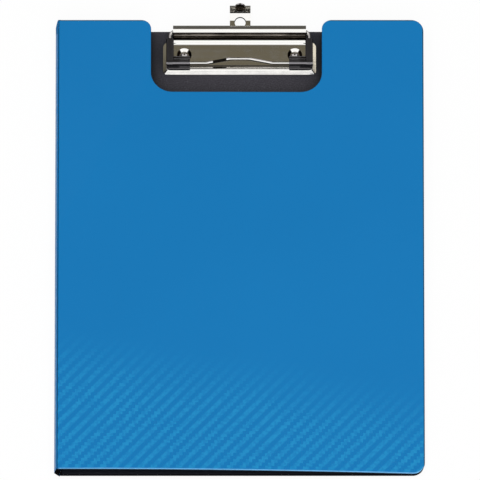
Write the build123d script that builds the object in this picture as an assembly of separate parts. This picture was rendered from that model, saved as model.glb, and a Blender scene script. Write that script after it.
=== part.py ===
from build123d import *
import os
from math import asin, atan2, cos, degrees, radians, sin, sqrt, tan

os.makedirs("parts", exist_ok=True)

# The folder lies on its back: X to the free edges, Y to the clip end, Z up through the front cover.
# The origin is on the resting face, below the middle of the cover and in line with the clip's middle.

# Overall sizes of the closed folder
folder_width = 240.0
cover_length = 320.0
closed_height = 13.0

# Sheets and board
foil = 0.9
lining = 0.35
film = 0.2
board_thickness = 2.0
board_length = 316.2
board_drop = 4.0
corner_radius = 8.0
board_inset = 0.5
skin_inset = 0.6

# Living hinges of the spine
hinge_reach = 1.05
bead_radius = 0.3
web_thickness = 0.35
web_gap = 0.15
back_hinge_inset = 3.5
front_hinge_inset = 1.7
spine_crease_height = 5.4
board_hinge_gap = 1.4

# Front cover
notch_left = 57.7
notch_right = 53.7
notch_depth = 51.4
notch_corner = 14.0
notch_mouth = 6.3
lining_inset = 0.3
lining_hinge_gap = 3.0
cover_edge_round = 0.55
layer_gap = 0.1
rest_gap = 0.3
trim_margin = 2.0

# Clear pocket inside the cover
pocket_side = 9.0
pocket_bottom = 8.0
pocket_height = 205.0
pocket_corner = 4.0
thumb_radius = 14.0

# Stamped clip plate, with the roll that holds the wire
plate_sheet = 0.7
plate_rise = 2.1
plate_flank = 41.5
plate_half_width = 47.5
plate_front = 28.6
plate_back = 8.8
plate_crown = 2.4
plate_crown_radius = 16.0
wing_corner = 2.3
pan_corner = 2.6
plate_bend = 0.9
mitre_slit = 0.6
roll_half_width = 43.4
roll_diameter = 6.8
roll_setback = 2.76
roll_height = 7.5
roll_fillet = 4.55
roll_opening = 46.0
relief_length = 2.3
relief_width = 0.9
relief_gap = 0.5
relief_setback = 1.5

# Dimples and rivets
rivet_inset = 11.4
rivet_setback = 17.6
dimple_mouth = 4.8
dimple_floor = 2.95
dimple_spread = 0.67
shank_radius = 1.5
rivet_clearance = 0.05
dome_radius = 2.6
dome_height = 1.2
dome_edge = 0.35
tail_radius = 2.9
tail_height = 0.8
tail_chamfer = 0.3
tail_window = 3.6
tail_bore = 0.9
tail_bore_depth = 2.0

# Wire bail
wire_radius = 1.05
wire_clearance = 0.08
arm_gap = 0.95
bail_reach = 22.64
bail_front_height = 6.3
bail_corner = 3.2
bail_mouth_bend = 4.2
lift_half_width = 21.0
lift_crest_half_width = 6.0
lift_rise = 3.6
lift_back = 1.4
lift_bend = 9.0
tail_crank_clearance = 0.2
tail_crank_bend = 2.6
tail_straight = 4.6
tail_slope = 4.2
tail_run = 7.0

# Corner sleeves on the bail
sleeve_width = 4.9
sleeve_height = 4.4
sleeve_nose = 2.3
sleeve_nose_round = 1.5
sleeve_edge_round = 1.3
sleeve_top_gap = 6.0
shoe_length = 15.5
shoe_front = 3.4
shoe_back = 6.3
shoe_lift = 0.3
shoe_wall = 1.3
shoe_flange_height = 1.9
shoe_rib_radius = 0.35
shoe_rib_pitch = 1.5
shoe_end_round = 0.6
sleeve_corner = 3.0
sleeve_shoulder = 1.3

# Sliding hanger
hanger_width = 13.45
hanger_middle = 0.4
hanger_sheet = 0.8
hanger_lift = 0.25
hanger_flat_end = 7.7
hanger_ramp = 5.15
hanger_ramp_angle = 14.0
hanger_lip = 6.4
hanger_lip_angle = 70.0
hanger_bend = 1.2
hanger_hole_radius = 3.55
hanger_hole_reach = 6.1
hanger_tongue_radius = 3.5
hanger_tongue_sink = 1.1
hanger_pad = 0.25
hanger_ear = 3.4
hanger_ear_length = 3.0
hanger_side_gap = 0.3
hanger_corner = 0.8
guide_length = 1.6

# Tolerance for picking edges by their place
tiny = 0.01

# Levels and edges that follow from the sizes above
right_edge = folder_width / 2
spine_face = -folder_width / 2
cover_top = cover_length / 2
cover_bottom = -cover_length / 2
board_face = foil + board_thickness
board_top = cover_top - board_drop
board_bottom = board_top - board_length
back_hinge = (spine_face + back_hinge_inset, foil / 2)
front_hinge = (spine_face + front_hinge_inset, closed_height - foil / 2)
lining_top = closed_height - foil - layer_gap
film_top = lining_top - lining - layer_gap
droop = lining_top - lining - board_face - rest_gap
board_left = back_hinge[0] + board_hinge_gap
plate_underside = plate_rise - plate_sheet
sheet_middle = plate_rise - plate_sheet / 2
roll_radius = (roll_diameter - plate_sheet) / 2
bore_radius = roll_diameter / 2 - plate_sheet
fillet_radius = roll_fillet + plate_sheet / 2
fillet_rise = roll_height - sheet_middle - fillet_radius
fillet_span = sqrt((fillet_radius + roll_radius) ** 2 - fillet_rise ** 2)
fillet_foot = -roll_setback - fillet_span
seam = fillet_foot - plate_sheet
guide_front = seam - guide_length
hanger_ear_back = guide_front - hanger_side_gap
hanger_end = hanger_ear_back - hanger_ear_length
arm_x = roll_half_width + arm_gap + wire_radius
bail_front = roll_setback + bail_reach
shoe_bottom = plate_rise + shoe_lift
plate_flank_run = plate_rise / tan(radians(plate_flank))
rivet_x = plate_half_width - rivet_inset


def along_y(section, start, end):
    """Extrudes an X-Z section from one Y to another."""
    plane = Plane(origin=(0, end, 0), x_dir=(1, 0, 0), z_dir=(0, -1, 0))
    return extrude(plane * section, amount=end - start)


def along_x(section, start, end):
    """Extrudes a Y-Z section from one X to another."""
    plane = Plane(origin=(start, 0, 0), x_dir=(0, 1, 0), z_dir=(1, 0, 0))
    return extrude(plane * section, amount=end - start)


def block(x_span, y_span, z_span):
    """Box between two X, two Y and two Z values."""
    spans = (x_span, y_span, z_span)
    sizes = [high - low for low, high in spans]
    middle = [(low + high) / 2 for low, high in spans]
    return Pos(*middle) * Box(*sizes)


def rectangle(x_span, y_span):
    """Rectangle between two values of each plane axis."""
    size = (x_span[1] - x_span[0], y_span[1] - y_span[0])
    middle = ((x_span[0] + x_span[1]) / 2, (y_span[0] + y_span[1]) / 2)
    return Pos(*middle) * Rectangle(*size)


def round_corners(face, points, radius):
    """Rounds the corners of a flat face that lie at the given points."""
    chosen = [min(face.vertices(), key=lambda v: (Vector(v) - Vector(p)).length) for p in points]
    return fillet(chosen, radius)


def strip(start, end, width, rounded=True):
    """Straight strip between two points of a plane, with round or square ends."""
    run = Vector(*end) - Vector(*start)
    middle = (Vector(*start) + Vector(*end)) / 2
    angle = degrees(atan2(run.Y, run.X))
    shape = SlotCenterToCenter(run.length, width) if rounded else Rectangle(run.length, width)
    return Pos(middle.X, middle.Y) * Rot(0, 0, angle) * shape


def toward(start, end, distance):
    """Point at a distance from start on the line to end."""
    run = (Vector(*end) - Vector(*start)).normalized() * distance
    return (start[0] + run.X, start[1] + run.Y)


def save(shape, name):
    export_step(shape, f"parts/{name}.step")


# Back: blue skin and black board
def back_outline(left, inset):
    """Plan of the back, with rounded free corners."""
    right = right_edge - inset
    low = board_bottom + inset
    face = rectangle((left, right), (low, board_top))
    return round_corners(face, [(right, low), (right, board_top)], corner_radius - inset)


def rivet_positions(radius):
    """Upright round bars of a radius on the two rivet axes, through clip, board and skin."""
    bar = Pos(0, board_top - rivet_setback, board_face) * Cylinder(radius, 3 * board_face)
    return [Pos(side * rivet_x, 0, 0) * bar for side in (-1, 1)]


def hinge_web(hinge, reach):
    """Thin web of a panel, from its rounded edge to just short of the bead on the fold line."""
    start = (hinge[0] + bead_radius + web_gap, hinge[1])
    return strip(start, (hinge[0] + reach, hinge[1]), web_thickness, rounded=False)


def make_back_cover():
    left = back_hinge[0]
    body = rectangle((left + hinge_reach, right_edge), (0, foil))
    edge = Pos(left + hinge_reach, foil / 2) * Circle(foil / 2)
    section = body + edge + hinge_web(back_hinge, hinge_reach)
    skin = along_y(section, board_bottom, board_top)
    skin &= extrude(back_outline(left, skin_inset), amount=foil)
    for window in rivet_positions(tail_window):
        skin -= window
    return skin


def make_back_board():
    outline = back_outline(board_left, board_inset)
    board = extrude(Pos(0, 0, foil) * outline, amount=board_thickness)
    for hole in rivet_positions(shank_radius + rivet_clearance):
        board -= hole
    return board


# Spine: two facets with a crease, and the fold beads on both edges
def make_spine_strip():
    crease = (spine_face + foil / 2, spine_crease_height)
    section = Sketch()
    for hinge in (back_hinge, front_hinge):
        edge = toward(hinge, crease, hinge_reach)
        section += strip(edge, crease, foil)
        section += strip(hinge, edge, web_thickness, rounded=False)
        section += Pos(*hinge) * Circle(bead_radius)
    spine = along_y(section, cover_bottom, cover_top)
    side = make_face(Polyline(
        (board_bottom, 0),
        (cover_bottom, closed_height),
        (cover_top, closed_height),
        (board_top, 0),
        close=True,
    ))
    return spine & along_x(side, spine_face, spine_face + 2 * back_hinge_inset)


# Front cover: level along its top edge, drooping to the board at its bottom free corner
def curled_layer(top, thickness, margin):
    """Layer of the cover, ruled between its level top edge and its drooping bottom edge, with a margin
    beyond the cover's free edges."""
    left = front_hinge[0] + hinge_reach
    right = right_edge + margin
    middle = (left + right) / 2
    stretch = ((right - left) / (right_edge - left)) ** 2
    low = top - thickness
    sections = []
    for y in (cover_bottom - margin, cover_top + margin):
        drop = droop * stretch * (cover_top - y) / cover_length
        upper = Bezier((left, y, top), (middle, y, top), (right, y, top - drop))
        lower = Bezier((left, y, low), (middle, y, low), (right, y, low - drop))
        ends = [Line(upper @ t, lower @ t) for t in (0, 1)]
        sections.append(make_face(upper + ends[1] + lower + ends[0]))
    return loft(sections, ruled=True)


def cover_outline(left, inset):
    """Plan of the front cover, with its rounded corners and the notch round the clip."""
    right = right_edge - inset
    top = cover_top - inset
    low = cover_bottom + inset
    floor = cover_top - notch_depth
    face = rectangle((left, right), (low, top))
    face -= rectangle((-notch_left, notch_right), (floor, cover_top + inset))
    face = round_corners(face, [(right, low), (right, top)], corner_radius - inset)
    face = round_corners(face, [(-notch_left, floor), (notch_right, floor)], notch_corner)
    return round_corners(face, [(-notch_left, top), (notch_right, top)], notch_mouth)


def trimmed(layer, outline):
    """Part of a cover layer inside a plan outline."""
    return layer & extrude(outline, amount=2 * closed_height)


def make_front_cover():
    left = front_hinge[0]
    sheet = trimmed(curled_layer(closed_height, foil, trim_margin), cover_outline(left, 0))
    outer_face = sheet.faces().filter_by(lambda f: f.normal_at().Z > 0.9).sort_by(SortBy.AREA)[-1]
    free_edges = outer_face.edges().filter_by(lambda e: e.center().X > left + 2 * hinge_reach)
    sheet = fillet(free_edges, cover_edge_round)
    edge = Pos(left + hinge_reach, front_hinge[1]) * Circle(foil / 2)
    section = edge + hinge_web(front_hinge, hinge_reach)
    return sheet + along_y(section, cover_bottom, cover_top)


def make_front_lining():
    left = front_hinge[0] + lining_hinge_gap
    layer = curled_layer(lining_top, lining, -lining_inset)
    return trimmed(layer, cover_outline(left, lining_inset - tiny))


def make_document_pocket():
    left = front_hinge[0] + pocket_side
    right = right_edge - pocket_side
    low = cover_bottom + pocket_bottom
    top = low + pocket_height
    face = rectangle((left, right), (low, top))
    face = round_corners(face, [(left, low), (right, low), (left, top), (right, top)], pocket_corner)
    face -= Pos((left + right) / 2, top) * Circle(thumb_radius)
    return trimmed(curled_layer(film_top, film, 0), face)


# Clip plate, in the clip's own frame: Y from the board's top edge, Z from the board's face
def on_board(shape):
    """Moves a shape from the clip's frame onto the board."""
    return Pos(0, board_top, board_face) * shape


def pan(inset, bend):
    """Raised pan, crowned along its front, with sloping flanks on its front and sides: the plate's
    outside, or at an inset of one sheet the hollow below it."""
    rise = plate_rise - inset
    narrowing = inset * tan(radians(plate_flank) / 2)
    half_width = plate_half_width - narrowing
    front = plate_front - narrowing
    spread = 1 / tan(radians(plate_flank))
    bow = plate_crown_radius - inset
    dip = asin(plate_crown / bow)
    lip = rise - bow * (1 - cos(dip))
    crown = CenterArc((-front + plate_crown, rise - bow), bow, 90, degrees(dip))
    outline = Polyline((-front, lip), (-front - lip * spread, 0), (0, 0), (0, rise), crown @ 0)
    side_view = make_face(outline.edges() + crown.edges())
    wide = half_width + rise * spread
    end_view = make_face(Polyline(
        (-wide, 0), (-half_width, rise), (half_width, rise), (wide, 0), close=True
    ))
    solid = along_x(side_view, -wide, wide) & along_y(end_view, -front - rise * spread, 0)
    ridge = solid.edges().filter_by(lambda e: e.center().Z > lip - tiny and abs(e.center().Y) > tiny)
    ridge = ridge.filter_by(lambda e: abs(e.center().X) > tiny or e.center().Y < -front + tiny)
    return fillet(ridge, bend)


def rolled_sheet():
    """Side view of the plate's back: flat, rising fillet, and the roll round the wire."""
    tangent = degrees(atan2(fillet_rise, fillet_span))
    flat = Line((seam - plate_sheet, sheet_middle), (fillet_foot, sheet_middle))
    fillet_centre = (fillet_foot, sheet_middle + fillet_radius)
    up = CenterArc(fillet_centre, fillet_radius, -90, 90 + tangent)
    turn = 360 - roll_opening - tangent
    roll = CenterArc((-roll_setback, roll_height), roll_radius, 180 + tangent, -turn)
    return trace(Wire([*flat.edges(), *up.edges(), *roll.edges()]), plate_sheet)


def dimple(inner):
    """Cone of a rivet dimple: the pressed-down wall, or the hollow inside it."""
    if inner:
        floor, bottom, top = plate_sheet, dimple_floor, dimple_mouth
        height = plate_rise - floor
    else:
        floor, bottom, top = 0, dimple_floor + dimple_spread, dimple_mouth + dimple_spread
        height = plate_underside
    cone = Cone(bottom, top, height, align=(Align.CENTER, Align.CENTER, Align.MIN))
    return [Pos(side * rivet_x, -rivet_setback, floor) * cone for side in (-1, 1)]


def relief(side):
    """Wedge and slit that free the roll's foot from the wing beside it."""
    tip = roll_half_width - relief_length
    start = fillet_foot + relief_setback
    wedge = make_face(Polyline(
        (tip, start),
        (roll_half_width + relief_gap, start),
        (roll_half_width + relief_gap, start - relief_width),
        close=True,
    ))
    slit = rectangle((roll_half_width, roll_half_width + relief_gap), (start - relief_width, 0))
    cut = extrude(wedge + slit, amount=roll_height)
    return cut if side > 0 else mirror(cut, Plane.YZ)


def make_clip_base():
    plate = pan(0, plate_bend) - pan(plate_sheet, plate_bend - plate_sheet)
    profile = rolled_sheet()
    wide = plate_half_width + plate_flank_run
    low = -plate_front - plate_flank_run
    plan = rectangle((-wide, wide), (low, -plate_back))
    plan = round_corners(plan, [(-wide, -plate_back), (wide, -plate_back)], wing_corner)
    plan = round_corners(plan, [(-wide, low), (wide, low)], pan_corner)
    plate &= extrude(plan, amount=plate_rise)
    plate -= block((-roll_half_width, roll_half_width), (seam, 0), (-plate_sheet, 2 * plate_rise))
    plate += along_x(profile, -roll_half_width, roll_half_width)
    for wall in dimple(inner=False):
        plate += wall
    for hollow in dimple(inner=True):
        plate -= hollow
    for side in (-1, 1):
        plate -= relief(side)
    guide_x = hanger_width / 2 + hanger_side_gap
    guide = block((guide_x, guide_x + plate_sheet), (guide_front, seam), (0, plate_underside))
    plate += Pos(hanger_middle, 0, 0) * (guide + mirror(guide, Plane.YZ))
    corner = plate_flank_run / 2
    for side in (-1, 1):
        slit = Box(plate_flank_run * 2, mitre_slit, plate_rise * 3)
        place = Pos(side * (plate_half_width + corner), -plate_front - corner, 0)
        plate -= place * Rot(0, 0, -side * 45) * slit
    plate = on_board(plate)
    for hole in rivet_positions(shank_radius + rivet_clearance):
        plate -= hole
    return plate


# Rivets: dome on the dimple's floor, flattened tail on the back of the board
def make_rivet(side):
    seat = board_face + plate_sheet
    tail_face = foil
    edge = seat + dome_edge
    top = seat + dome_height
    cap = (dome_radius ** 2 + (top - edge) ** 2) / (2 * (top - edge))
    rim = degrees(atan2(edge - top + cap, dome_radius))
    outline = Polyline((0, top), (0, seat), (dome_radius, seat), (dome_radius, edge))
    dome = make_face(outline.edges() + CenterArc((0, top - cap), cap, rim, 90 - rim).edges())
    shank = rectangle((0, shank_radius), (tail_face - tail_height, seat))
    tail = make_face(Polyline(
        (0, tail_face - tail_height),
        (tail_radius - tail_chamfer, tail_face - tail_height),
        (tail_radius, tail_face - tail_height + tail_chamfer),
        (tail_radius, tail_face),
        (0, tail_face),
        close=True,
    ))
    bore = rectangle((0, tail_bore), (0, tail_bore_depth))
    section = dome + shank + tail - bore
    rivet = revolve(Plane.XZ * section, axis=Axis.Z)
    return Pos(side * rivet_x, board_top - rivet_setback, 0) * rivet


# Wire bail: one wire from tail to tail
def bail_half():
    """Points of the right half of the wire, from its tail to the middle, with their bend radii."""
    y = -roll_setback
    crank = bore_radius - wire_radius - tail_crank_clearance
    slope_start = roll_half_width - tail_straight
    slope_end = slope_start - tail_slope
    points = [((slope_end - tail_run, y, roll_height + crank), tail_crank_bend)]
    points.append(((slope_end, y, roll_height + crank), tail_crank_bend))
    points.append(((slope_start, y, roll_height), tail_crank_bend))
    points.append(((arm_x, y, roll_height), bail_mouth_bend))
    points.append(((arm_x, -bail_front, bail_front_height), bail_corner))
    points.append(((lift_half_width, -bail_front, bail_front_height), lift_bend))
    crest = (-bail_front + lift_back, bail_front_height + lift_rise)
    points.append(((lift_crest_half_width, *crest), lift_bend))
    return points


def bail_path():
    right = bail_half()
    left = [((-x, y, z), radius) for (x, y, z), radius in right][::-1]
    points = right + left
    radii = [radius for point, radius in points][1:-1]
    return FilletPolyline(*[point for point, radius in points], radius=radii)


def wire(radius):
    """Round bar of a radius along the whole bail."""
    path = bail_path()
    section = Plane(origin=path @ 0, z_dir=path % 0) * Circle(radius)
    return sweep(section, path=path)


def make_wire_bail():
    return on_board(wire(wire_radius))


# Sleeves: an arm over the wire's side and a ribbed shoe that presses on the sheets
def shoe_section():
    """Side view of the shoe: pressing pad, round back over the wire, and ribs on both slopes."""
    centre = -bail_front
    tube = wire_radius + wire_clearance + shoe_wall
    low = centre - shoe_front
    high = centre + shoe_back
    top = shoe_bottom + shoe_flange_height
    pad = rectangle((low, high), (shoe_bottom, top))
    pad = round_corners(pad, [(low, top), (high, top)], 2 * shoe_rib_radius)
    section = pad + Pos(centre, bail_front_height) * Circle(tube)
    section += rectangle((centre - tube, centre + tube), (top - shoe_rib_radius, bail_front_height))
    for count in range(3):
        shift = shoe_rib_radius + shoe_rib_pitch * count
        for y in (low + shift + shoe_rib_radius, high - shift - shoe_rib_radius):
            if abs(y - centre) > tube - shoe_rib_radius:
                section += Pos(y, top) * Circle(shoe_rib_radius)
    return section


def make_sleeve(side):
    outer = arm_x + sleeve_width / 2
    shoe = along_x(shoe_section(), outer - shoe_length, outer)
    start = -roll_setback - sleeve_top_gap
    fall = (roll_height - bail_front_height) / bail_reach
    rear = roll_height - sleeve_top_gap * fall
    half = sleeve_height / 2
    nose = (-bail_front - sleeve_nose, bail_front_height + half)
    side_view = make_face(Polyline(
        (start, rear - half),
        (start, rear + half),
        nose,
        (nose[0], shoe_bottom),
        (-bail_front + half, shoe_bottom),
        close=True,
    ))
    side_view = round_corners(side_view, [nose], sleeve_nose_round)
    arm = along_x(side_view, outer - sleeve_width, outer)
    long_edges = arm.edges().filter_by(lambda e: abs(e.tangent_at(0.5).Y) > 0.9)
    upper = long_edges.filter_by(lambda e: e.center().Z > bail_front_height)
    arm = fillet(upper, sleeve_edge_round)
    sleeve = arm + shoe
    low = -bail_front - shoe_front
    plan = rectangle((outer - shoe_length, outer), (low, start))
    plan = round_corners(plan, [(outer, low)], sleeve_corner)
    plan = round_corners(plan, [(outer, start)], sleeve_shoulder)
    plan = round_corners(plan, [(outer - shoe_length, low)], shoe_end_round)
    sleeve &= extrude(plan, amount=2 * closed_height)
    sleeve -= wire(wire_radius + wire_clearance)
    sleeve = on_board(sleeve)
    return sleeve if side > 0 else mirror(sleeve, Plane.YZ)


# Hanger: bent strip with ears, a hole and a round finger pad on its lip
def make_hanger_tab():
    level = hanger_lift + hanger_sheet / 2
    ramp = radians(hanger_ramp_angle)
    lip = radians(hanger_lip_angle)
    ramp_end = (hanger_flat_end + hanger_ramp * cos(ramp), level + hanger_ramp * sin(ramp))
    tongue_height = hanger_lip - hanger_tongue_sink
    lip_run = tongue_height + hanger_tongue_radius
    tip = (ramp_end[0] + lip_run * cos(lip), ramp_end[1] + lip_run * sin(lip))
    path = FilletPolyline(
        (hanger_end, level), (hanger_flat_end, level), ramp_end, tip, radius=hanger_bend
    )
    half = hanger_width / 2
    tab = along_x(trace(path, hanger_sheet), -half, half)
    lip_plane = Plane(origin=(0, *ramp_end), x_dir=(1, 0, 0), z_dir=(0, -sin(lip), cos(lip)))
    beyond = rectangle((-hanger_width, hanger_width), (hanger_lip, 2 * lip_run))
    tongue = Pos(0, tongue_height) * Circle(hanger_tongue_radius)
    tab -= extrude(lip_plane * (beyond - tongue), amount=hanger_sheet, both=True)
    tab += extrude(lip_plane * tongue, amount=hanger_sheet / 2 + hanger_pad)
    tab -= Pos(0, hanger_hole_reach, level) * Cylinder(hanger_hole_radius, 4 * hanger_sheet)
    ear_x = (-half - hanger_ear, half + hanger_ear)
    ears = block(ear_x, (hanger_end, hanger_ear_back), (hanger_lift, hanger_lift + hanger_sheet))
    ears = fillet(ears.edges().filter_by(Axis.Z), hanger_corner)
    return on_board(Pos(hanger_middle, 0, 0) * (tab + ears))


save(make_back_cover(), "back_cover")
save(make_back_board(), "back_board")
save(make_spine_strip(), "spine_strip")
save(make_front_cover(), "front_cover")
save(make_front_lining(), "front_lining")
save(make_document_pocket(), "document_pocket")
save(make_clip_base(), "clip_base")
save(make_wire_bail(), "wire_bail")
save(make_hanger_tab(), "hanger_tab")
for side, word in ((-1, "left"), (1, "right")):
    save(make_sleeve(side), f"sleeve_{word}")
    save(make_rivet(side), f"rivet_{word}")
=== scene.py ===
from math import cos, pi, radians, sin

import bpy
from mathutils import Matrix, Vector


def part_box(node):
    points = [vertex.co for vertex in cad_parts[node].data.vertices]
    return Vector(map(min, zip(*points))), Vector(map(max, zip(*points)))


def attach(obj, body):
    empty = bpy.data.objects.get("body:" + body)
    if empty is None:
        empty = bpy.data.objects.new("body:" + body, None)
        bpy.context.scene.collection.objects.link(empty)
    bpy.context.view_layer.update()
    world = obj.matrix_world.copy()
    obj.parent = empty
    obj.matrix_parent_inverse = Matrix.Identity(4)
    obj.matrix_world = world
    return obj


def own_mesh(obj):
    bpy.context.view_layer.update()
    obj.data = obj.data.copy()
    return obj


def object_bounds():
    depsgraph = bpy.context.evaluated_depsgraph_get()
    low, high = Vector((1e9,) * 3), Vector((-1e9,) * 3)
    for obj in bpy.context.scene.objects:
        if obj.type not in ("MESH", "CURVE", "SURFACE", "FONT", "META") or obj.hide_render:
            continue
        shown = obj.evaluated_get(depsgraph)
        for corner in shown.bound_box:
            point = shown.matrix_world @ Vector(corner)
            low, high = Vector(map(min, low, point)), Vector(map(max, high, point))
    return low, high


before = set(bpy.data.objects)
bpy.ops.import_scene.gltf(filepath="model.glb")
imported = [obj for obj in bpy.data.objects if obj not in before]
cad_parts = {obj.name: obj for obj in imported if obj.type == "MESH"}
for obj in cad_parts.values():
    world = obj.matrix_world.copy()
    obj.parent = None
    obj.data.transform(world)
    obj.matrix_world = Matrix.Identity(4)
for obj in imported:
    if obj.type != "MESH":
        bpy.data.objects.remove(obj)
cad_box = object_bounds()

# The clipboard folder lies on its back: X to the free edges, Y to the clip end, Z up. Metres.
MM = 0.001

# View: a long lens, tilted back from straight above
CAMERA_ELEVATION = 65.64
LENS_MM = 1600.0
SENSOR_MM = 36.0
FRAME_WIDTH = 311.96 * MM
AIM = Vector((0.29, 2.16, 13.0)) * MM

# Places on the folder: top edges of the board and the cover, and the middle of the clip
BOARD_TOP = 156.0 * MM
COVER_TOP = 160.0 * MM
CLIP_PLACE = Vector((0, 140, 8)) * MM

# Width of the dark line that the cover's right and top edges show, and of its soft side
EDGE_LINE = 0.5 * MM

# Carbon-look 2/2 twill pressed into the lower part of the cover, and its fade towards the top
TOW_WIDTH = 2.05 * MM
TOW_HEIGHT = 2.21 * MM
TWILL_DEPTH = 0.08 * MM
FADE_START_LEFT = -61.0 * MM
FADE_START_RIGHT = -103.0 * MM
FADE_LENGTH = 55.0 * MM
FADE_RAGGED = 16.0 * MM

# Reach of the shading where the cover and the clip stand close over the board
SHADE_REACH = 20.0 * MM

# Levels on the clip between which the painted shade in its hollow below the roll turns lighter
HOLLOW_LEVELS = (9.0 * MM, 10.1 * MM)
HOLLOW_FADE = 1.0 * MM

# Distance from the clip's middle within which the sides of its pressed dimples get painted shade
DIMPLE_REACH = (42.0 * MM, 41.0 * MM)

# Rise of the clip's plate just behind its rolled front edge, between the two side flanges
LIP_RISE = (131.2 * MM, 129.8 * MM)
LIP_HEIGHT = 0.09 * MM
PLATE_EDGE = (48.4 * MM, 45.4 * MM)

# Round pad of the hanger and the wall of its hole, by centre and radius
PAD_CENTRE = Vector((0.4, 170.5, 9.8)) * MM
PAD_RADIUS = 3.45 * MM
HOLE_CENTRE = Vector((0.4, 162.1, 3.55)) * MM
HOLE_RADIUS = 4.05 * MM
HOLE_FADE = 1.5 * MM
ROUND_FADE = 0.15 * MM

# Stretch of the bail's left slope that mirrors something dark
DARK_STRETCH = (-17.6 * MM, -8.4 * MM)
STRETCH_FADE = 0.3 * MM

# Ribs across the shoes of the black sleeves, drawn as painted highlights on their crests
SHOE_RIB_PITCH = 1.434 * MM
SHOE_RIB_START = 135.26 * MM
SHOE_OUTER_END = (40.5 * MM, 38.5 * MM)

# Foil that closes the two fold lines: its body, a node as long as it, and its limits in X and in Z
FOLD_SKINS = (
    ("board", "back_cover", (-116.19 * MM, -115.9 * MM), (0.35 * MM, 0.55 * MM)),
    ("cover", "front_cover", (-117.99 * MM, -117.7 * MM), (12.45 * MM, 12.65 * MM)),
)

# Floor
FLOOR_HALF = 6.0
FLOOR_GAP = 0.1 * MM
FLOOR_WHITE = (0.9, 0.9, 0.9)
FLOOR_GLOW = 0.93
FLOOR_BEHIND = (0.110, 0.105, 0.092)

# Two lamps, by place and size, and the light of the white world
LAMP_WATTS = 50
FRONT_LAMP = ((0, -2.4, 2.2), (3.0, 2.0))
TOP_LAMP = ((0, 0.4, 3.0), (3.0, 3.0))
WORLD_LIGHT = 0.4

# Sphere that carries the surroundings
SPHERE_RADIUS = 1.6
SPHERE_ROWS = 18
SPHERE_COLUMNS = 36

# What the metal mirrors round the X axis, by degrees from straight up, positive to the front
SURROUNDINGS = (
    (-180, (0.120, 0.115, 0.100)),
    (-60, (0.110, 0.105, 0.095)),
    (-40, (0.045, 0.042, 0.036)),
    (-28, (0.045, 0.042, 0.036)),
    (-27, (0.138, 0.121, 0.084)),
    (-22, (0.138, 0.121, 0.084)),
    (-21, (0.045, 0.042, 0.036)),
    (-20, (0.250, 0.240, 0.220)),
    (-16, (0.450, 0.440, 0.420)),
    (-13, (0.700, 0.690, 0.670)),
    (-12, (1.000, 1.000, 1.000)),
    (60, (1.000, 1.000, 1.000)),
    (61, (0.050, 0.042, 0.035)),
    (180, (0.050, 0.042, 0.035)),
)

# What it mirrors to the sides, by the share of the direction that points along X or, for the top, Z
SIDE_EDGE = (0.66, 0.72)
SIDE_DARK = (0.045, 0.036, 0.030)
SIDE_CARD_EDGE = (0.86, 0.88)
SIDE_CARD_TOP = (0.24, 0.18)
LEFT_CARD = (0.165, 0.150, 0.110)
RIGHT_CARD = (0.800, 0.740, 0.620)

# Pale patches that the bail's bends mirror, behind the clip on both sides: share of X, and degrees
LEAN_EDGE = (0.16, 0.30)
LEAN_BEHIND = (-12.0, -16.0)
LEAN_LIGHT = (0.480, 0.455, 0.480)

# Colours of the blue film and its edges
FILM_TINTS = ((0.0002, 0.157, 0.412), (0.0012, 0.172, 0.443))
TWILL_BLUE = (0.008, 0.235, 0.500)
# Painted highlight on the cover's lower rounded rim
RIM_HIGHLIGHT_BLUE = (0.135, 0.415, 0.740)
LINE_BLUE = (0.006, 0.065, 0.120)
# Painted light: the cut that faces the front is lighter than the other cuts
FRONT_CUT_LIT_BLUE = (0.060, 0.145, 0.250)
OTHER_CUT_BLUE = (0.010, 0.075, 0.170)
FILM_BLACK = (0.006, 0.006, 0.007)

# Colours of the board
BOARD_TINTS = ((0.020, 0.019, 0.025), (0.047, 0.044, 0.056))
# Pale specks: painted glints of the board's grain
SPECK_GLINT_GREY = (0.13, 0.13, 0.15)
BOARD_SHADE = (0.004, 0.006, 0.010)
BOARD_SIDE = (0.004, 0.004, 0.005)

# Colours of the nickel plate, and the painted shade and painted dark reflections on some of its
# stretches
NICKEL_TINTS = ((0.950, 0.938, 0.900), (0.985, 0.975, 0.950))
HOLLOW_SHADE_TINTS = ((0.060, 0.048, 0.036), (0.360, 0.320, 0.285))
DIMPLE_SHADE = (0.085, 0.060, 0.050)
PAD_SHADE = (0.210, 0.180, 0.155)
HOLE_SHADE = (0.050, 0.048, 0.040)
STRETCH_SHADE = (0.012, 0.011, 0.009)
WIRE_FRONT = (0.110, 0.095, 0.080)

# Colours of the sleeves and the pocket
SLEEVE_TINTS = ((0.004, 0.0035, 0.005), (0.010, 0.009, 0.011))
# Painted highlight on the crests of the shoes' ribs
RIB_CREST_HIGHLIGHT = (0.085, 0.080, 0.086)
# Painted highlight along the sleeve's tube
SLEEVE_TUBE_HIGHLIGHT = (0.190, 0.180, 0.195)
POCKET_TINTS = ((0.85, 0.88, 0.90), (0.95, 0.97, 0.98))


def opaque(colour):
    """A plain colour with its fourth value, or a socket as it is."""
    return colour if isinstance(colour, bpy.types.NodeSocket) else (*colour, 1)


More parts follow.
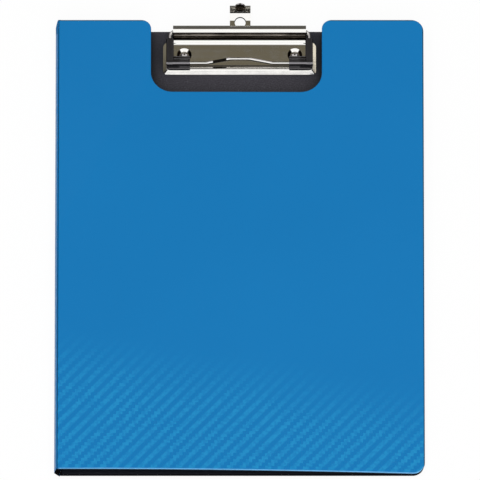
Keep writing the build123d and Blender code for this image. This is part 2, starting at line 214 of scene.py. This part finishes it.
class Nodes:
    """Node tree of a material or a world, with short calls for the nodes that repeat."""

    def __init__(self, owner):
        owner.use_nodes = True
        self.tree = owner.node_tree

    def node(self, kind, **settings):
        node = self.tree.nodes.new(kind)
        for name, value in settings.items():
            setattr(node, name, value)
        return node

    def plug(self, socket, value):
        """Links a socket to another node's output, or sets it to a plain value."""
        if isinstance(value, bpy.types.NodeSocket):
            self.tree.links.new(value, socket)
        else:
            socket.default_value = value

    def math(self, operation, *values):
        node = self.node("ShaderNodeMath", operation=operation)
        for socket, value in zip(node.inputs, values):
            self.plug(socket, value)
        return node.outputs[0]

    def times(self, first, second):
        return self.math("MULTIPLY", first, second)

    def most(self, first, second):
        """The larger of two values."""
        return self.math("MAXIMUM", first, second)

    def size(self, value):
        """A value without its sign."""
        return self.math("ABSOLUTE", value)

    def ramp(self, value, low, high, start=0.0, end=1.0):
        """Turns a range of values into another one, with smooth limits at both ends."""
        node = self.node("ShaderNodeMapRange", interpolation_type="SMOOTHSTEP")
        for socket, number in zip(node.inputs, (value, low, high, start, end)):
            self.plug(socket, number)
        return node.outputs["Result"]

    def mix(self, share, first, second):
        """Mixes two colours."""
        node = self.node("ShaderNodeMix", data_type="RGBA")
        self.plug(node.inputs["Factor"], share)
        self.plug(node.inputs["A"], opaque(first))
        self.plug(node.inputs["B"], opaque(second))
        return node.outputs["Result"]

    def seen(self):
        """One for rays that see a thing straight, in a mirror or through clear film, else nought."""
        path = self.node("ShaderNodeLightPath").outputs
        indirect = self.most(path["Is Glossy Ray"], path["Is Transmission Ray"])
        return self.most(path["Is Camera Ray"], indirect)


class Shader(Nodes):
    """Material, with the place on the object and the direction of its surface, in the object's frame."""

    def __init__(self, name):
        self.material = bpy.data.materials.new(name)
        super().__init__(self.material)
        self.bsdf = self.tree.nodes["Principled BSDF"]
        coordinates = self.node("ShaderNodeTexCoord").outputs
        self.place = coordinates["Object"]
        self.direction = coordinates["Normal"]

    def parts(self, vector):
        """X, Y and Z of a vector."""
        node = self.node("ShaderNodeSeparateXYZ")
        self.plug(node.inputs["Vector"], vector)
        return node.outputs

    def frontward(self):
        """How far the surface faces the front: one straight to it, minus one straight away."""
        return self.times(self.parts(self.direction)[1], -1.0)

    def around(self, centre, radius):
        """One within a radius of a point, else nought."""
        node = self.node("ShaderNodeVectorMath", operation="DISTANCE")
        self.plug(node.inputs[0], self.place)
        node.inputs[1].default_value = centre
        return self.ramp(node.outputs["Value"], radius, radius - ROUND_FADE)

    def noise(self, scale, detail=2.0, stretch=(1, 1, 1)):
        """Noise of a scale in features per metre, stretched by smaller factors along an axis."""
        mapping = self.node("ShaderNodeMapping")
        self.plug(mapping.inputs["Vector"], self.place)
        mapping.inputs["Scale"].default_value = stretch
        node = self.node("ShaderNodeTexNoise")
        self.plug(node.inputs["Vector"], mapping.outputs["Vector"])
        node.inputs["Scale"].default_value = scale
        node.inputs["Detail"].default_value = detail
        return node.outputs["Fac"]

    def bump(self, height, distance, strength=1.0, below=None):
        """Raises the surface by a height, on top of another bump where one is given."""
        node = self.node("ShaderNodeBump")
        node.inputs["Distance"].default_value = distance
        node.inputs["Strength"].default_value = strength
        self.plug(node.inputs["Height"], height)
        if below:
            self.plug(node.inputs["Normal"], below)
        return node.outputs["Normal"]

    def set(self, **inputs):
        """Plugs values into the shader, by the names of its inputs with _ for spaces."""
        for name, value in inputs.items():
            self.plug(self.bsdf.inputs[name.replace("_", " ")], value)

    def glow(self, colour):
        """Shader that glows in a colour."""
        node = self.node("ShaderNodeEmission")
        self.plug(node.inputs["Color"], colour)
        return node.outputs["Emission"]

    def surface(self, shader):
        """Makes another shader the material's surface."""
        self.plug(self.tree.nodes["Material Output"].inputs["Surface"], shader)


# Blue polypropylene film
def hump(s, count):
    """Half wave over each whole step of a count."""
    return s.math("SINE", s.times(s.math("FRACT", count), pi))


def twill(s):
    """Twill's pattern: the share of the lighter tows, and the relief's height. The weft lies on top in
    the first two of each four steps, and ribs run along it, centred between those two."""
    repeat = 4.0
    x, y, _ = s.parts(s.place)
    column = s.math("DIVIDE", x, TOW_WIDTH)
    row = s.math("DIVIDE", y, TOW_HEIGHT)
    step = s.math("SUBTRACT", s.math("FLOOR", column), s.math("FLOOR", row))
    phase = s.math("FLOORED_MODULO", step, repeat)
    weft = s.math("LESS_THAN", phase, repeat / 2 - 0.5)
    warp = s.math("SUBTRACT", 1.0, weft)
    height = s.math("ADD", s.times(hump(s, row), weft), s.times(hump(s, column), warp))
    diagonal = s.math("SUBTRACT", s.math("SUBTRACT", column, row), 0.5)
    wave = s.math("COSINE", s.times(diagonal, 2 * pi / repeat))
    rib = s.ramp(wave, -0.65, 0.65)
    smooth = s.ramp(s.noise(55.0), 0.42, 0.62)
    tow = s.math("MULTIPLY_ADD", smooth, s.math("SUBTRACT", rib, weft), weft)
    return tow, height


def twill_fade(s):
    """One where the twill is full, down to nought above its ragged, sloping upper limit."""
    x, y, _ = s.parts(s.place)
    slope = (FADE_START_RIGHT - FADE_START_LEFT) / (cad_box[1].x - cad_box[0].x)
    shift = s.times(s.math("SUBTRACT", x, cad_box[0].x), slope)
    ragged = s.times(s.noise(30.0), FADE_RAGGED)
    start = s.math("ADD", s.math("ADD", shift, FADE_START_LEFT), ragged)
    return s.ramp(s.math("SUBTRACT", start, y), 0.0, FADE_LENGTH)


def last_line(s, value, end):
    """One on the last narrow line before an end."""
    return s.ramp(value, end - 2 * EDGE_LINE, end - EDGE_LINE)


def edge_colours(s, colour):
    """Colours of the foil's rounded and cut edges: a painted highlight on the lower rim, a painted
    lighter face on the cut that faces the front, darker on the other cuts.
    """
    front = s.frontward()
    rim_highlight = s.times(s.ramp(front, 0.12, 0.30), s.ramp(front, 0.97, 0.85))
    colour = s.mix(rim_highlight, colour, RIM_HIGHLIGHT_BLUE)
    x, y, _ = s.parts(s.place)
    line = s.most(last_line(s, x, cad_box[1].x), last_line(s, y, COVER_TOP))
    colour = s.mix(line, colour, LINE_BLUE)
    # Painted light on the cut that faces the front
    colour = s.mix(s.ramp(front, 0.9, 0.99), colour, FRONT_CUT_LIT_BLUE)
    across, along, _ = s.parts(s.direction)
    cut = s.most(s.ramp(along, 0.45, 0.8), s.ramp(across, 0.45, 0.8))
    return s.mix(cut, colour, OTHER_CUT_BLUE)


def blue_film(name, embossed=False, dark_side=None):
    """Polypropylene with a fine satin grain. The cover is embossed with the twill. The spine and the
    back are black on their inner side, which faces X or Z, and on their cut ends."""
    s = Shader(name)
    colour = s.mix(s.noise(9.0, 3.0), *FILM_TINTS)
    relief = s.bump(s.noise(3500.0), 0.02 * MM, 0.35)
    rough = s.ramp(s.noise(400.0), 0.3, 0.7, 0.34, 0.44)
    specular = 0.15
    if embossed:
        tow, height = twill(s)
        fade = twill_fade(s)
        patchy = s.ramp(s.noise(420.0), 0.35, 0.65, 0.45, 1.0)
        colour = s.mix(s.times(s.times(tow, fade), patchy), colour, TWILL_BLUE)
        relief = s.bump(s.times(height, fade), TWILL_DEPTH, 0.45, relief)
        colour = edge_colours(s, colour)
    if dark_side:
        across, along, up = s.parts(s.direction)
        inside = s.ramp(across if dark_side == "X" else up, 0.1, 0.4)
        ends = s.ramp(s.size(along), 0.4, 0.7)
        colour = s.mix(s.most(inside, ends), colour, FILM_BLACK)
        specular = s.ramp(ends, 0.0, 1.0, specular, 0.0)
    s.set(Base_Color=colour, Roughness=rough, Specular_IOR_Level=specular, Normal=relief)
    return s.material


def black_board(name):
    """Black board with a fine pressed grain and pale specks painted as glints of the grain,
    darker where little light gets in and black on its sides."""
    s = Shader(name)
    grain = s.noise(1400.0, 4.0)
    glint_specks = s.ramp(s.noise(900.0), 0.62, 0.78)
    colour = s.mix(s.ramp(grain, 0.35, 0.65), *BOARD_TINTS)
    colour = s.mix(s.times(glint_specks, 0.5), colour, SPECK_GLINT_GREY)
    near = s.node("ShaderNodeAmbientOcclusion", samples=8)
    near.inputs["Distance"].default_value = SHADE_REACH
    open_sky = s.ramp(near.outputs["AO"], 0.45, 0.90)
    colour = s.mix(open_sky, BOARD_SHADE, colour)
    side = s.ramp(s.size(s.parts(s.direction)[2]), 0.9, 0.5)
    colour = s.mix(side, colour, BOARD_SIDE)
    s.set(Base_Color=colour, Roughness=s.ramp(grain, 0.3, 0.7, 0.55, 0.4))
    s.set(Specular_IOR_Level=s.ramp(side, 0.0, 1.0, 0.4, 0.0))
    s.set(Normal=s.bump(grain, 0.12 * MM, 0.5))
    return s.material


# Nickel-plated metal, and what is different on three of its pieces
def clip_marks(s, colour, relief):
    """Painted shade in streaks in the hollow below the clip's roll, painted shade on the sides of
    its dimples, and the rise of its lip.
    """
    x, y, z = s.parts(s.place)
    # Painted shade in the hollow below the roll, in streaks, lighter between the given levels
    behind = s.ramp(y, CLIP_PLACE.y, CLIP_PLACE.y + HOLLOW_FADE)
    steep = s.times(s.ramp(s.frontward(), 0.62, 0.76), behind)
    shade_streaks = s.ramp(s.noise(45.0, 2.0, (1, 0.1, 0.1)), 0.35, 0.65, 0.25, 1.0)
    hollow = s.mix(s.times(s.ramp(z, *HOLLOW_LEVELS), shade_streaks), *HOLLOW_SHADE_TINTS)
    colour = s.mix(steep, colour, hollow)
    # Painted shade on the steep sides of the dimples
    lean = s.ramp(s.size(s.parts(s.direction)[0]), 0.33, 0.42)
    dimple_shade = s.times(lean, s.ramp(s.size(x), *DIMPLE_REACH))
    colour = s.mix(dimple_shade, colour, DIMPLE_SHADE)
    rise = s.times(s.ramp(y, *LIP_RISE), s.ramp(s.size(x), *PLATE_EDGE))
    return colour, s.bump(rise, LIP_HEIGHT, 1.0, relief)


def hanger_marks(s, colour, relief):
    """Dark front of the hanger's pad, and the dark far wall of its hole."""
    y = s.parts(s.place)[1]
    pad = s.times(s.around(PAD_CENTRE, PAD_RADIUS), s.ramp(s.frontward(), 0.4, 0.6))
    colour = s.mix(pad, colour, PAD_SHADE)
    beyond = s.ramp(y, HOLE_CENTRE.y, HOLE_CENTRE.y + HOLE_FADE)
    wall = s.times(s.around(HOLE_CENTRE, HOLE_RADIUS), beyond)
    return s.mix(wall, colour, HOLE_SHADE), relief


def bail_marks(s, colour, relief):
    """Dark stretch of the bail's left slope, and the front of the wire, which mirrors the clip."""
    x = s.parts(s.place)[0]
    left, right = DARK_STRETCH
    stretch = s.times(s.ramp(x, left, left + STRETCH_FADE), s.ramp(x, right, right - STRETCH_FADE))
    colour = s.mix(stretch, colour, STRETCH_SHADE)
    return s.mix(s.ramp(s.frontward(), 0.66, 0.76), colour, WIRE_FRONT), relief


def nickel(name, marks=None):
    """Nickel plate: nearly clean mirror with faint drawing lines and handling marks, and the marks of
    one piece where they are given."""
    s = Shader(name)
    lines = s.noise(900.0, 3.0, (0.02, 1, 1))
    handled = s.noise(160.0, 3.0)
    colour = s.mix(handled, *NICKEL_TINTS)
    rough = s.ramp(s.math("ADD", lines, handled), 0.7, 1.3, 0.07, 0.16)
    relief = s.bump(lines, 0.02 * MM, 0.15)
    if marks:
        colour, relief = marks(s, colour, relief)
    s.set(Base_Color=colour, Metallic=1.0, Roughness=rough, Normal=relief)
    return s.material


def black_sleeve(name):
    """Moulded black plastic with a gloss, with painted highlights on rib crests across the shoes
    and a painted highlight along the tube.
    """
    s = Shader(name)
    worn = s.noise(300.0, 3.0)
    colour = s.mix(worn, *SLEEVE_TINTS)
    x, y, _ = s.parts(s.place)
    turn = s.times(s.math("SUBTRACT", y, SHOE_RIB_START), 2 * pi / SHOE_RIB_PITCH)
    shoe = s.ramp(s.size(x), *SHOE_OUTER_END)
    # Painted highlights on the rib crests
    crest_highlight = s.times(s.ramp(s.math("COSINE", turn), 0.60, 1.00), shoe)
    colour = s.mix(crest_highlight, colour, RIB_CREST_HIGHLIGHT)
    # Painted highlight along the tube
    front = s.frontward()
    tube_highlight = s.times(s.ramp(front, 0.20, 0.30), s.ramp(front, 0.64, 0.52))
    colour = s.mix(tube_highlight, colour, SLEEVE_TUBE_HIGHLIGHT)
    s.set(Base_Color=colour, Roughness=s.ramp(worn, 0.3, 0.7, 0.08, 0.14), IOR=1.75)
    s.set(Normal=s.bump(s.noise(2200.0), 0.01 * MM, 0.2))
    return s.material


def clear_film(name):
    """Clear pocket film, slightly rippled."""
    s = Shader(name)
    ripple = s.noise(25.0)
    colour = s.mix(ripple, *POCKET_TINTS)
    s.set(Base_Color=colour, Roughness=s.ramp(ripple, 0.3, 0.7, 0.06, 0.14), Alpha=0.22)
    s.set(Normal=s.bump(ripple, 0.6 * MM, 0.4))
    return s.material


def finish_nodes():
    """Gives each node of the frame its own detailed material."""
    board = black_board("board_black_grain")
    metal = nickel("nickel_plate")
    sleeve = black_sleeve("sleeve_moulded")
    finishes = {
        "front_cover": blue_film("blue_film_twill", embossed=True),
        "back_cover": blue_film("blue_film_back", dark_side="Z"),
        "spine_strip": blue_film("blue_film_spine", dark_side="X"),
        "back_board": board,
        "front_lining": board,
        "document_pocket": clear_film("pocket_film"),
        "clip_base": nickel("nickel_clip", clip_marks),
        "wire_bail": nickel("nickel_bail", bail_marks),
        "hanger_tab": nickel("nickel_hanger", hanger_marks),
        "rivet_left": metal,
        "rivet_right": metal,
        "sleeve_left": sleeve,
        "sleeve_right": sleeve,
    }
    for node, material in finishes.items():
        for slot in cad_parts[node].material_slots:
            slot.material = material


def add_mesh(name, points, faces, material):
    mesh = bpy.data.meshes.new(name)
    mesh.from_pydata(points, [], faces)
    mesh.materials.append(material)
    thing = bpy.data.objects.new(name, mesh)
    bpy.context.scene.collection.objects.link(thing)
    return thing


def make_fold_skins():
    """Foil that closes the narrow slits along the fold lines, as boxes whose corners are counted with
    Z first, then Y, then X."""
    film = blue_film("blue_film_fold", dark_side="Z")
    faces = [(0, 1, 3, 2), (4, 6, 7, 5), (0, 4, 5, 1), (2, 3, 7, 6), (0, 2, 6, 4), (1, 5, 7, 3)]
    for body, node, across, levels in FOLD_SKINS:
        low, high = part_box(node)
        corners = [(x, y, z) for x in across for y in (low.y, high.y) for z in levels]
        skin = add_mesh("fold_skin_" + body, corners, faces, film)
        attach(skin, body)


# Studio: pale floor, soft light, and surroundings that only the gloss sees
def floor_material():
    """White that renders as the background does, but keeps the shadow. Beyond the board's top edge
    the metal mirrors it darker."""
    s = Shader("studio_floor")
    s.set(Base_Color=opaque(FLOOR_WHITE), Roughness=0.9, Specular_IOR_Level=0.0)
    mirrored = s.node("ShaderNodeLightPath").outputs["Is Glossy Ray"]
    beyond = s.math("GREATER_THAN", s.parts(s.place)[1], BOARD_TOP)
    behind = s.times(beyond, mirrored)
    blend = s.node("ShaderNodeMixShader")
    s.plug(blend.inputs[0], s.most(s.times(s.seen(), FLOOR_GLOW), behind))
    s.plug(blend.inputs[1], s.bsdf.outputs["BSDF"])
    s.plug(blend.inputs[2], s.glow(s.mix(behind, (1.0, 1.0, 1.0), FLOOR_BEHIND)))
    s.surface(blend.outputs["Shader"])
    return s.material


def make_floor():
    """Floor just below the folder."""
    level = cad_box[0].z - FLOOR_GAP
    sides = (-FLOOR_HALF, FLOOR_HALF)
    points = [(x, y, level) for y in sides for x in sides]
    floor = add_mesh("studio_floor", points, [(0, 1, 3, 2)], floor_material())
    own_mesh(floor)


def stops_ramp(s, angle):
    """Colour of the surroundings at an angle, between their stops. New stops of the ramp start in its
    middle and then move to their places, in order."""
    low, high = SURROUNDINGS[0][0], SURROUNDINGS[-1][0]
    ramp = s.node("ShaderNodeValToRGB")
    s.plug(ramp.inputs["Fac"], s.math("DIVIDE", s.math("SUBTRACT", angle, low), high - low))
    stops = ramp.color_ramp.elements
    for _ in SURROUNDINGS[2:]:
        stops.new(0.5)
    for stop, (degree, colour) in zip(stops, SURROUNDINGS):
        stop.position = (degree - low) / (high - low)
        stop.color = opaque(colour)
    return ramp.outputs["Color"]


def surroundings_material():
    """Glow that runs through the stops of the surroundings, with darker sides that hold two cards."""
    s = Shader("surroundings")
    unit = s.node("ShaderNodeVectorMath", operation="NORMALIZE")
    s.plug(unit.inputs[0], s.place)
    x, y, z = s.parts(unit.outputs["Vector"])
    angle = s.math("DEGREES", s.math("ARCTAN2", s.times(y, -1.0), z))
    aside = s.size(x)
    card = s.mix(s.math("GREATER_THAN", x, 0.0), LEFT_CARD, RIGHT_CARD)
    on_card = s.times(s.ramp(aside, *SIDE_CARD_EDGE), s.ramp(z, *SIDE_CARD_TOP))
    side = s.mix(on_card, SIDE_DARK, card)
    lean = s.times(s.ramp(aside, *LEAN_EDGE), s.ramp(angle, *LEAN_BEHIND))
    middle = s.mix(lean, stops_ramp(s, angle), LEAN_LIGHT)
    s.surface(s.glow(s.mix(s.ramp(aside, *SIDE_EDGE), middle, side)))
    return s.material


def make_surroundings():
    """Sphere round the clip."""
    points = []
    for row in range(SPHERE_ROWS + 1):
        polar = pi * row / SPHERE_ROWS
        ring = SPHERE_RADIUS * sin(polar)
        for column in range(SPHERE_COLUMNS):
            turn = 2 * pi * column / SPHERE_COLUMNS
            points.append((ring * cos(turn), ring * sin(turn), SPHERE_RADIUS * cos(polar)))
    faces = []
    for row in range(SPHERE_ROWS):
        upper, lower = row * SPHERE_COLUMNS, (row + 1) * SPHERE_COLUMNS
        for column in range(SPHERE_COLUMNS):
            after = (column + 1) % SPHERE_COLUMNS
            faces.append((upper + column, upper + after, lower + after, lower + column))
    sphere = add_mesh("surroundings", points, faces, surroundings_material())
    sphere.location = CLIP_PLACE
    show_to_gloss_only(sphere)


def show_to_gloss_only(thing):
    """Hides a thing from all rays but the glossy ones."""
    thing.visible_camera = False
    thing.visible_diffuse = False
    thing.visible_transmission = False
    thing.visible_shadow = False
    thing.visible_volume_scatter = False


def make_lamp(name, place, size):
    """Soft lamp that shines at the folder and isn't mirrored itself."""
    data = bpy.data.lights.new(name, "AREA")
    data.shape = "RECTANGLE"
    data.size, data.size_y = size
    data.energy = LAMP_WATTS
    lamp = bpy.data.objects.new(name, data)
    bpy.context.scene.collection.objects.link(lamp)
    lamp.location = place
    lamp.rotation_euler = (-Vector(place)).to_track_quat("-Z", "Y").to_euler()
    lamp.visible_glossy = False


def make_world():
    """White for what looks straight at it, softer as a light."""
    world = bpy.data.worlds.new("studio_world")
    bpy.context.scene.world = world
    w = Nodes(world)
    back = w.tree.nodes["Background"]
    back.inputs["Color"].default_value = (1, 1, 1, 1)
    w.plug(back.inputs["Strength"], w.ramp(w.seen(), 0.0, 1.0, WORLD_LIGHT, 1.0))


def make_camera():
    """Camera that shows the frame's width at the point it aims at."""
    data = bpy.data.cameras.new("view")
    data.lens = LENS_MM
    data.sensor_width = SENSOR_MM
    distance = LENS_MM * FRAME_WIDTH / SENSOR_MM
    tilt = radians(CAMERA_ELEVATION)
    back = Vector((0, -cos(tilt), sin(tilt)))
    camera = bpy.data.objects.new("view", data)
    bpy.context.scene.collection.objects.link(camera)
    camera.location = AIM + back * distance
    camera.rotation_euler = (-back).to_track_quat("-Z", "Y").to_euler()
    bpy.context.scene.camera = camera


finish_nodes()
make_fold_skins()
make_floor()
make_surroundings()
make_lamp("front_softbox", *FRONT_LAMP)
make_lamp("top_softbox", *TOP_LAMP)
make_world()
make_camera()
bpy.context.scene.view_settings.view_transform = "Standard"
